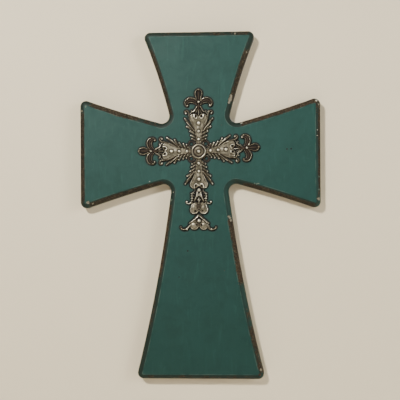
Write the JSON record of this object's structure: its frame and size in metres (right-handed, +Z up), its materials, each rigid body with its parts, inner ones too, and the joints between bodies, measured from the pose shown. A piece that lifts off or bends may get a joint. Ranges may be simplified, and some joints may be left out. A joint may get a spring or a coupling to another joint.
{
  "type": "wall cross",
  "caption": "Painted board cut to a cross with flared arms and rounded, worn edges, with a smaller flowered cross of cast metal fixed to its front and a keyhole slot in its back.",
  "frame": {"origin": "middle of the crossing of the arms, on the flat back, which lies against the wall", "axes": "+Z up along the long arm's middle line as the cross hangs, +Y out of the back into the wall, +X to the right of someone facing the front, which faces -Y"},
  "size_m": [0.2416, 0.0214, 0.3488],
  "materials": {
    "paint": "teal paint, satin, rubbed to brown on the edges",
    "antique_silver": "cast zinc alloy, silver on the high parts and dark brown in the hollows"
  },
  "bodies": {
    "root": {"board": "paint", "casting": "antique_silver"}
  },
  "joints": []
}
